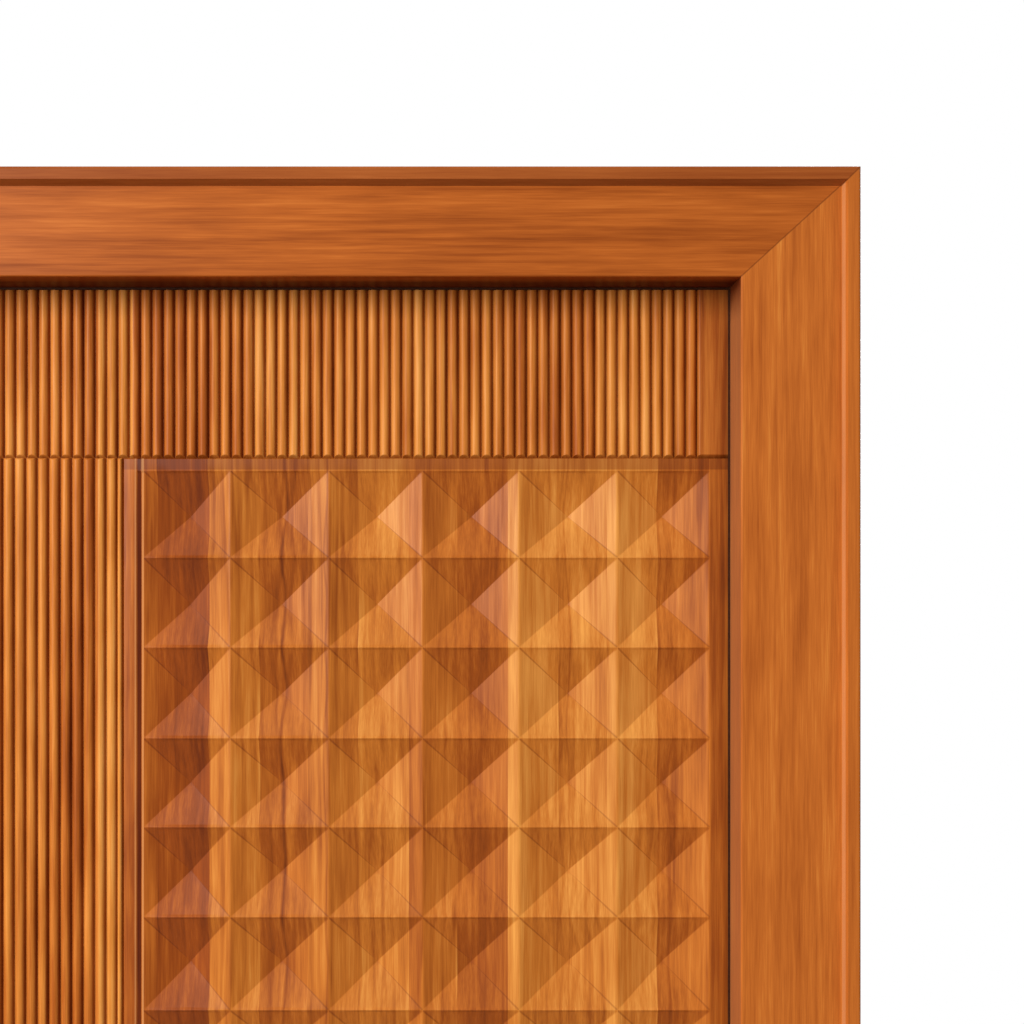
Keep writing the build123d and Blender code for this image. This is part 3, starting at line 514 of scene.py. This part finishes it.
def veined_value(tree, place, across, value, veins):
    """Darkens a brightness along veins.

    The distance from a vein is the place across less a slow noise that sways about the vein's own
    place.
    """
    for at, half_width, sway, darkness in veins:
        slow = node(tree, "Mapping", place, (at, 0, 0), None, VEIN_SCALE)
        wander = node(tree, "TexNoise", slow, sockets={"Scale": 1.0, "Detail": VEIN_DETAIL})
        shift = node(tree, "MapRange", wander, 0.0, 1.0, at - sway, at + sway)
        apart = node(tree, "Math", across, shift, operation="SUBTRACT")
        apart = node(tree, "Math", apart, operation="ABSOLUTE")
        dark = node(tree, "MapRange", apart, 0.0, half_width, darkness, 0.0)
        value = node(tree, "Math", value, dark, operation="SUBTRACT")
    return value


def layered_colour(tree, colour, layers, places):
    """Lays painted shade and painted highlights over a colour.

    Each range of a layer rises from 0 to 1 between two places, and the layer's strength is their
    product.
    """
    for strength, blend, tone, *ranges in layers:
        for axis, start, full in ranges:
            risen = node(tree, "MapRange", places[axis], start, full)
            strength = node(tree, "Math", risen, strength, operation="MULTIPLY")
        tinted = node(tree, "MixRGB", 1.0, colour, linear(tone), blend_type=blend)
        colour = node(tree, "MixRGB", strength, colour, tinted)
    return colour


def mitred_colour(tree, colour, mitre, places):
    """Draws the glue line of a mitre: the distance from the line through its two points."""
    (inner_x, inner_z), (outer_x, outer_z) = mitre
    length = math.hypot(outer_x - inner_x, outer_z - inner_z)
    out = node(tree, "Math", places["away"], inner_x, operation="SUBTRACT")
    out = node(tree, "Math", out, (outer_z - inner_z) / length, operation="MULTIPLY")
    rise = node(tree, "Math", places["z"], inner_z, operation="SUBTRACT")
    rise = node(tree, "Math", rise, (outer_x - inner_x) / length, operation="MULTIPLY")
    off_line = node(tree, "Math", out, rise, operation="SUBTRACT")
    off_line = node(tree, "Math", off_line, operation="ABSOLUTE")
    line = node(tree, "MapRange", off_line, *GLUE_LINE)
    return node(tree, "MixRGB", line, colour, linear(GLUE_TONE))


def teak(name, shades, grain="Z", staves=(), **looks):
    """Teak under a satin varnish, with its grain along one axis.

    Brightness is a sum of patterns: growth rings, wide bands, flame-like patches, long streaks and
    fine fibres; where the mesh marks them, it also takes its facets' painted light and shade. A ramp
    turns it into the wood's colours, over which lie painted shade, painted highlights and the glue
    line of a mitre. Staves shift the brightness and hue from one glued board to the next, and each
    has its own piece of the patterns. The looks are named in TEAK_LOOKS.
    """
    look = {**TEAK_LOOKS, **looks}
    material, tree, shader, place = new_material(name)
    across, depth, up = node(tree, "SeparateXYZ", place).outputs
    lengthwise = (up, depth, across) if grain == "X" else (across, depth, up)
    board = node(tree, "CombineXYZ", *lengthwise)
    value = MIDDLE_TONE + RING_MEAN * look["ring"]
    if staves:
        tone, red, seed = stave_values(tree, across, staves)
        moved = node(tree, "VectorMath", STAVE_SHIFT, seed, operation="MULTIPLY")
        board = node(tree, "VectorMath", board, moved, operation="ADD")
        value = node(tree, "Math", tone, RING_MEAN * look["ring"], operation="ADD")
    value, noises = grain_value(tree, board, value, look)
    places = {
        "x": across,
        "z": up,
        "away": node(tree, "Math", across, operation="ABSOLUTE"),
        "from_core": node(tree, "Math", depth, operation="ABSOLUTE"),
        "below": node(tree, "Math", depth, LEAF_FRONT, operation="SUBTRACT"),
    }
    # Painted light and shade of the facets, and the crease mark where painted shade goes
    if look["creased"]:
        facet = node(tree, "Attribute", attribute_name="facet").outputs["Fac"]
        value = node(tree, "Math", value, facet, operation="ADD")
        places["crease"] = node(tree, "Attribute", attribute_name="crease").outputs["Fac"]
    value = veined_value(tree, place, across, value, look["veins"])

    colour = node(tree, "ValToRGB", value, stops=[(p, linear(c)) for p, c in shades])
    if staves:
        redder = node(tree, "MixRGB", 1.0, colour, linear(REDDER_TONE), blend_type="MULTIPLY")
        colour = node(tree, "MixRGB", red, colour, redder)
    colour = layered_colour(tree, colour, look["layers"], places)
    if look["mitre"] is not None:
        colour = mitred_colour(tree, colour, look["mitre"], places)
    fibre, streak = noises["fibre"], noises["streak"]
    height = node(tree, "Math", fibre, FIBRE_RELIEF, streak, operation="MULTIPLY_ADD")
    dress(
        tree, shader, colour, streak, look["roughness"], height,
        specular=look["specular"], **TEAK_RELIEF,
    )
    return material


def plain_finish(name, colour, dark, metallic, roughness, scale, relief=0.0002, specular=0.5):
    """One colour broken by a stretched noise, which also moves the roughness and the relief.

    The scale is the noise's steps in a metre along x, y and z.
    """
    material, tree, shader, place = new_material(name)
    stretched = node(tree, "Mapping", place, None, None, scale)
    pattern = node(tree, "TexNoise", stretched, sockets={"Scale": 1.0, "Detail": 3.0})
    stops = list(zip(NOISE_RANGE, (linear(dark), linear(colour))))
    mixed = node(tree, "ValToRGB", pattern, stops=stops)
    shader.inputs["Metallic"].default_value = metallic
    dress(
        tree, shader, mixed, pattern, roughness, pattern,
        waver=0.08, strength=0.3, depth=relief, specular=specular,
    )
    return material


FRAME_SHADES = ((0.0, "#843a12"), (0.35, "#b05b20"), (0.62, "#c76d29"), (1.0, "#e4913f"))
HEAD_SHADES = ((0.0, "#70300e"), (0.35, "#9a4b18"), (0.62, "#b75f22"), (1.0, "#d87c34"))
# The band's colours painted darker, as shade, for the head's band, whose slope faces down
SHADED_BAND_COLOURS = ((0.0, "#6e3012"), (0.35, "#8f451a"), (0.62, "#a55725"), (1.0, "#bf6d36"))
REED_SHADES = ((0.0, "#7c3311"), (0.35, "#b5621f"), (0.62, "#da8837"), (1.0, "#f8b35f"))
CELL_SHADES = ((0.0, "#6e3108"), (0.35, "#9d5115"), (0.62, "#c47327"), (1.0, "#eaa04a"))
CORE_SHADES = ((0.0, "#8f6a3c"), (1.0, "#c9a572"))

# Left edge, tone and redness of each stave; the last row is the right edge of the last one
CELL_STAVES = (
    (-0.1562, 0.40, 0.35),
    (-0.1035, 0.28, 0.40),
    (-0.0508, 0.53, 0.10),
    (0.0019, 0.46, 0.20),
    (0.0546, 0.50, 0.10),
    (0.1073, 0.56, 0.05),
    (0.1600, 0.48, 0.20),
    (0.2127, 0.42, 0.25),
    (0.2654, 0.64, 0.05),
    (0.3181, 0.63, 0.05),
    (0.3708, 0.66, 0.05),
    (0.4235, 0.44, 0.15),
    (0.4762, 0.44, 0.12),
    (0.5289, 0.5, 0.0),
)
REED_STAVES = (
    (-0.5120, 0.50, 0.1),
    (-0.4500, 0.46, 0.2),
    (-0.3900, 0.53, 0.1),
    (-0.3300, 0.48, 0.2),
    (-0.2650, 0.52, 0.1),
    (-0.2200, 0.47, 0.2),
    (-0.1650, 0.60, 0.0),
    (-0.1300, 0.45, 0.25),
    (-0.0450, 0.49, 0.2),
    (-0.0050, 0.60, 0.05),
    (0.0450, 0.49, 0.15),
    (0.1550, 0.58, 0.05),
    (0.1970, 0.50, 0.1),
    (0.2600, 0.50, 0.15),
    (0.3270, 0.42, 0.25),
    (0.3600, 0.56, 0.05),
    (0.4450, 0.46, 0.2),
    (0.4680, 0.45, 0.15),
    (0.5120, 0.5, 0.0),
)

# Layers of painted shade and painted highlight. Places are x and z; away, the distance from
# the door's middle; from_core, the distance from the middle of the frame's depth; below, the depth
# under the leaf's front; and crease, the mesh's own mark
DARK = "MULTIPLY"
# Blend that lays a painted highlight or painted sheen
PAINTED_HIGHLIGHT = "MIX"
# Pale tone of the painted highlights on the edges beside the groove
HIGHLIGHT_TONE = "#e9a868"
BEHIND_FACE = ("from_core", 0.0605, 0.0585)
# Painted sheen: the reveal behind the face painted paler and greyer; painted shadow of the head over
# its top corner
REVEAL_SHEEN_AND_SHADOW = (
    (0.45, PAINTED_HIGHLIGHT, "#a2714c", BEHIND_FACE),
    (0.85, DARK, PAINTED_SHADE_TONE, BEHIND_FACE, ("z", 2.078, 2.112)),
)
# Painted highlight: a pale line along the bevel of the upright band
BEVEL_HIGHLIGHT_LAYERS = ((0.28, PAINTED_HIGHLIGHT, "#e6a878", ("away", 0.6004, 0.6010), ("away", 0.6036, 0.6028)),)
# Painted shade under the head, darkest towards the leaf
SOFFIT_SHADE_LAYERS = ((0.9, DARK, SOFFIT_SHADE_TONE, ("from_core", 0.0600, 0.030)),)
REED_SHADE_LAYERS = (
    # Painted shade in the valleys, then on the plain strip on the hinge side from its edge, and
    # more on its outer half beside the jamb
    (0.45, DARK, PAINTED_SHADE_TONE, ("below", 0.0004, 0.0028)),
    (0.3, DARK, PAINTED_SHADE_TONE, ("x", 0.4660, 0.4680)),
    (0.5, DARK, PAINTED_SHADE_TONE, ("x", 0.482, 0.500)),
)
CELL_SHADE_AND_HIGHLIGHT_LAYERS = (
    # Painted shade in the creases, then on the hinge margin beside the jamb and more on its outer
    # half; and the margin above the cells, darkened in the same tone
    (0.4, DARK, PAINTED_SHADE_TONE, ("crease", 0.0, 1.0)),
    (0.2, DARK, PAINTED_SHADE_TONE, ("x", 0.4795, 0.4800)),
    (0.25, DARK, PAINTED_SHADE_TONE, ("x", 0.490, 0.501)),
    (0.4, DARK, PAINTED_SHADE_TONE, ("z", 1.9258, 1.9266)),
    # Painted shade in the groove on the lock side, between two edges with painted highlights
    (0.8, DARK, PAINTED_SHADE_TONE, ("x", -0.1236, -0.1228), ("x", -0.1190, -0.1198)),
    (0.3, PAINTED_HIGHLIGHT, HIGHLIGHT_TONE, ("x", -0.1262, -0.1256), ("x", -0.1240, -0.1244)),
    (0.4, PAINTED_HIGHLIGHT, HIGHLIGHT_TONE, ("x", -0.1190, -0.1184), ("x", -0.1160, -0.1164)),
)

# Solid teak, planed and brushed with satin varnish: long orange-brown grain with small flecks, and
# a reveal painted paler and greyer as a sheen, with a painted shadow of the head in its top corner
frame_upright = teak(
    "varnished_teak_upright", FRAME_SHADES, mitre=MITRE, layers=REVEAL_SHEEN_AND_SHADOW, ring=0.1,
    band=0.7, flame=0.45, streak=0.7, fibre=0.45, specular=0.08,
)
# The same teak laid level: a shade deeper, with broader flames, and painted shade that makes it
# nearly black underneath
frame_level = teak(
    "varnished_teak_level", HEAD_SHADES, grain="X", mitre=MITRE, layers=SOFFIT_SHADE_LAYERS, ring=0.15,
    band=0.7, flame=0.4, streak=0.7, specular=0.06,
)
# Moulded teak strip, varnished: quiet straight grain, and one pale line painted on its bevel as a
# highlight
band_upright = teak(
    "varnished_teak_band_upright", FRAME_SHADES, mitre=BAND_MITRE, layers=BEVEL_HIGHLIGHT_LAYERS, ring=0.1,
    specular=0.08,
)
# The same strip laid level: even, in colours painted darker as shade on its slope, which faces
# down, and which sets the frame's top edge off
band_level = teak(
    "varnished_teak_band_level", SHADED_BAND_COLOURS, grain="X", mitre=BAND_MITRE, ring=0.1, specular=0.06,
)
# Teak staves moulded into reeds and varnished: golden crests that change from stave to stave, with
# painted shade in the valleys and on the plain strip beside the jamb
reeded_teak = teak(
    "reeded_teak_staves", REED_SHADES, staves=REED_STAVES, layers=REED_SHADE_LAYERS, ring=0.15,
    band=0.7, flame=0.45, streak=0.6,
)
# Teak staves carved into hollows and varnished: facets painted paler or darker by the way they
# face the light, a few dark veins, painted shade in the creases, the groove and the hinge margin,
# and painted highlights beside the groove
carved_teak = teak(
    "carved_teak_staves", CELL_SHADES, staves=CELL_STAVES, layers=CELL_SHADE_AND_HIGHLIGHT_LAYERS, creased=True,
    ring_width=0.014, ring_bend=5.0, ring=0.22, band=0.4, flame=0.5, streak=0.6, specular=0.16,
    veins=((0.030, 0.003, 0.016, 0.3), (0.075, 0.002, 0.012, 0.2), (0.33, 0.0015, 0.014, 0.15)),
)
# Flat-sawn teak boards, planed and varnished: a calm warm surface with wide rings
plain_teak = teak("plain_teak_boards", FRAME_SHADES, ring_width=0.016, ring_bend=6.0, ring=0.2)
# Bare sawn wood inside the leaf: pale straw brown and dull, seen only at its cut edges
core_upright = teak("bare_core_wood_upright", CORE_SHADES, roughness=0.75)
core_level = teak("bare_core_wood_level", CORE_SHADES, grain="X", roughness=0.75)
# Extruded rubber: a soft matt dark line beside the leaf, with a grain of about 3 mm
rubber = plain_finish(
    "matt_brown_seal_rubber", "#412211", "#31160a", 0.0, 0.7, (300, 300, 300), specular=0.12,
)
# Stainless steel, brushed upwards: pale grey with highlights drawn out along the bar. Its brush
# lines are drawn about a millimetre apart, ten times as coarse as real ones, so that they show.
steel = plain_finish(
    "satin_brushed_steel", "#b6b3ae", "#a5a29d", 1.0, 0.27, (900, 900, 30), relief=0.0001,
)
# Pressed steel with zinc plating: dull grey and slightly clouded, in patches of about 8 mm
zinc = plain_finish("zinc_plated_steel", "#bdbdb6", "#9c9d98", 1.0, 0.42, (120, 120, 120))
# Machined brass: warm yellow, with tool marks 1.5 mm apart, drawn coarse so that they show
brass = plain_finish("machined_brass", "#d6b468", "#b8924a", 1.0, 0.3, (700, 60, 700))

FINISHES = {
    frame_upright: ("left_jamb", "right_jamb"),
    frame_level: ("head", "sill"),
    band_upright: ("cover_band_left", "cover_band_right"),
    band_level: ("cover_band_head",),
    plain_teak: (
        "lock_lipping", "hinge_lipping", "back_panel_top", "back_panel_middle", "back_panel_bottom",
    ),
    core_upright: ("lock_stile", "hinge_stile", "core_board_1", "core_board_2"),
    core_level: ("bottom_rail", "top_rail", "frame_dowels"),
    rubber: ("seal_left", "seal_right", "seal_head", "seal_sill"),
    steel: (
        "outer_pull_bar", "inner_pull_bar", "pull_posts", "pull_end_caps", "pull_bolts",
        "outer_escutcheon", "inner_escutcheon", "lock_faceplate", "strike_plate", "thumb_turn",
        "hinge_frame_plate_1", "hinge_frame_plate_2", "hinge_frame_plate_3",
        "hinge_door_plate_1", "hinge_door_plate_2", "hinge_door_plate_3",
        "hinge_pin_1", "hinge_pin_2", "hinge_pin_3",
    ),
    zinc: (
        "lock_case", "lock_cover", "strike_box", "strike_screws", "hinge_bearings",
        "hinge_frame_screws", "hinge_door_screws", "faceplate_screws", "cylinder_screw",
    ),
    brass: ("deadbolt", "lock_cylinder", "lock_cam", "key_plug"),
}
for finish, names in FINISHES.items():
    for name in names:
        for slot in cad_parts[name].material_slots:
            slot.material = finish

# Angles from which an edge stays sharp: a reed's valley, and a ridge between two facets
REED_CREASE = 35
FACET_CREASE = 16

band_outline = reed_outline(-PANEL_EDGE, PANEL_EDGE, BAND_REEDS)
top_band = reeded_board(band_outline, UPPER_JOINT, LEAF_TOP, bottom_bevel=BAND_BEVEL)
bottom_band = reeded_board(band_outline, LEAF_BOTTOM, LOWER_JOINT, top_bevel=BAND_BEVEL)
side_outline = reed_outline(-PANEL_EDGE, SIDE_JOINT, SIDE_REEDS, bead=SIDE_BEAD)
side_field = reeded_board(side_outline, LOWER_JOINT, UPPER_JOINT, EDGE_BEVEL, EDGE_BEVEL)
panel("top_reeds", top_band, "top_reeded_panel", reeded_teak, REED_CREASE)
panel("bottom_reeds", bottom_band, "bottom_reeded_panel", reeded_teak, REED_CREASE)
panel("side_reeds", side_field, "side_reeded_panel", reeded_teak, REED_CREASE)
carved_soups, carved_marks = carved_board()
panel("carved_field", carved_soups, "diamond_panel", carved_teak, FACET_CREASE, carved_marks)


def soft_light(name, target, azimuth, elevation, width, height, watts, distance=5.0):
    """A white soft box that faces a target from a direction, in degrees.

    Azimuth turns to the right from the door's front. The box's place is the target plus its
    distance times the direction.
    """
    lamp = bpy.data.lights.new(name, "AREA")
    lamp.shape = "RECTANGLE"
    lamp.size = width
    lamp.size_y = height
    lamp.energy = watts
    made = bpy.data.objects.new(name, lamp)
    bpy.context.scene.collection.objects.link(made)
    a, e = math.radians(azimuth), math.radians(elevation)
    away = (math.sin(a) * math.cos(e), -math.cos(a) * math.cos(e), math.sin(e))
    made.location = [t + distance * d for t, d in zip(target, away)]
    made.rotation_euler = (math.pi / 2 - e, 0, a)
    made.visible_camera = False


def seen_directly(tree):
    """1 for rays from the camera, off gloss or through glass, and 0 for those that light things."""
    rays = node(tree, "LightPath").outputs
    seen = node(tree, "Math", rays["Is Camera Ray"], rays["Is Glossy Ray"], operation="MAXIMUM")
    return node(tree, "Math", seen, rays["Is Transmission Ray"], operation="MAXIMUM")


soft_light("key", (0.1, -0.06, 1.5), azimuth=-38, elevation=15, width=1.0, height=2.8, watts=270)
soft_light("room_key", (0, 0.06, 1.2), azimuth=150, elevation=22, width=1.6, height=3.0, watts=210)

# Surroundings: white to look at, and as a light strong from above and weak from below
SKY_STRENGTH = 0.75
SKY_GLOW = ((0.0, 0.02), (0.4, 0.3), (1.0, 1.0))
SKY_RISE = (-0.6, 1.0)
world = bpy.data.worlds.new("studio")
bpy.context.scene.world = world
world.use_nodes = True
sky = world.node_tree
sky.nodes.clear()
direction = node(sky, "SeparateXYZ", node(sky, "TexCoord").outputs["Generated"])
rise = node(sky, "MapRange", direction.outputs[2], *SKY_RISE)
glow = node(sky, "ValToRGB", rise, stops=grey(SKY_GLOW))
lit = node(sky, "Background", glow, SKY_STRENGTH)
white = node(sky, "Background", (1, 1, 1, 1), 1.0)
node(sky, "OutputWorld", node(sky, "MixShader", seen_directly(sky), lit, white))

# Round floor in matt off-white paint that fades into the white surroundings from FLOOR_FADE on.
# To the rays that light the door it is a dim grey, so that little comes up from below.
FLOOR_FADE = 1.6
FLOOR_RADIUS = 3.0
FLOOR_TURNS = 96
turns = np.linspace(0, 2 * math.pi, FLOOR_TURNS + 1)
radii = np.array((0.0, 1.0, 2.0, FLOOR_RADIUS))[:, None]
floor_points = np.stack((radii * np.cos(turns), radii * np.sin(turns), 0 * radii * turns), -1)
floor_vertices, floor_faces, _ = weld([surface(floor_points)])
floor_mesh = bpy.data.meshes.new("floor")
floor_mesh.from_pydata(floor_vertices, [], floor_faces)
floor_material, tree, shader, place = new_material("pale_floor")
shader.inputs["Base Color"].default_value = linear("#e9e6e0")
shader.inputs["Roughness"].default_value = 0.9
dim = node(tree, "BsdfDiffuse", linear("#6f6c68"))
both = node(tree, "MixShader", seen_directly(tree), dim, shader.outputs[0])
reach = node(tree, "VectorMath", place, operation="LENGTH").outputs["Value"]
fade = node(tree, "MapRange", reach, FLOOR_FADE, FLOOR_RADIUS)
blended = node(tree, "MixShader", fade, both, node(tree, "BsdfTransparent"))
tree.links.new(blended.outputs[0], tree.nodes["Material Output"].inputs["Surface"])
add_object("floor", floor_mesh, floor_material)

# The photograph's view: level, square to the door, with the top right corner in the frame
camera = bpy.data.cameras.new("camera")
camera.lens = 42.19
camera.sensor_width = 36.0
camera_object = bpy.data.objects.new("camera", camera)
camera_object.location = (0.271, -1.261, 1.8815)
camera_object.rotation_euler = (math.pi / 2, 0, 0)
bpy.context.scene.collection.objects.link(camera_object)
bpy.context.scene.camera = camera_object
bpy.context.scene.view_settings.view_transform = "Standard"
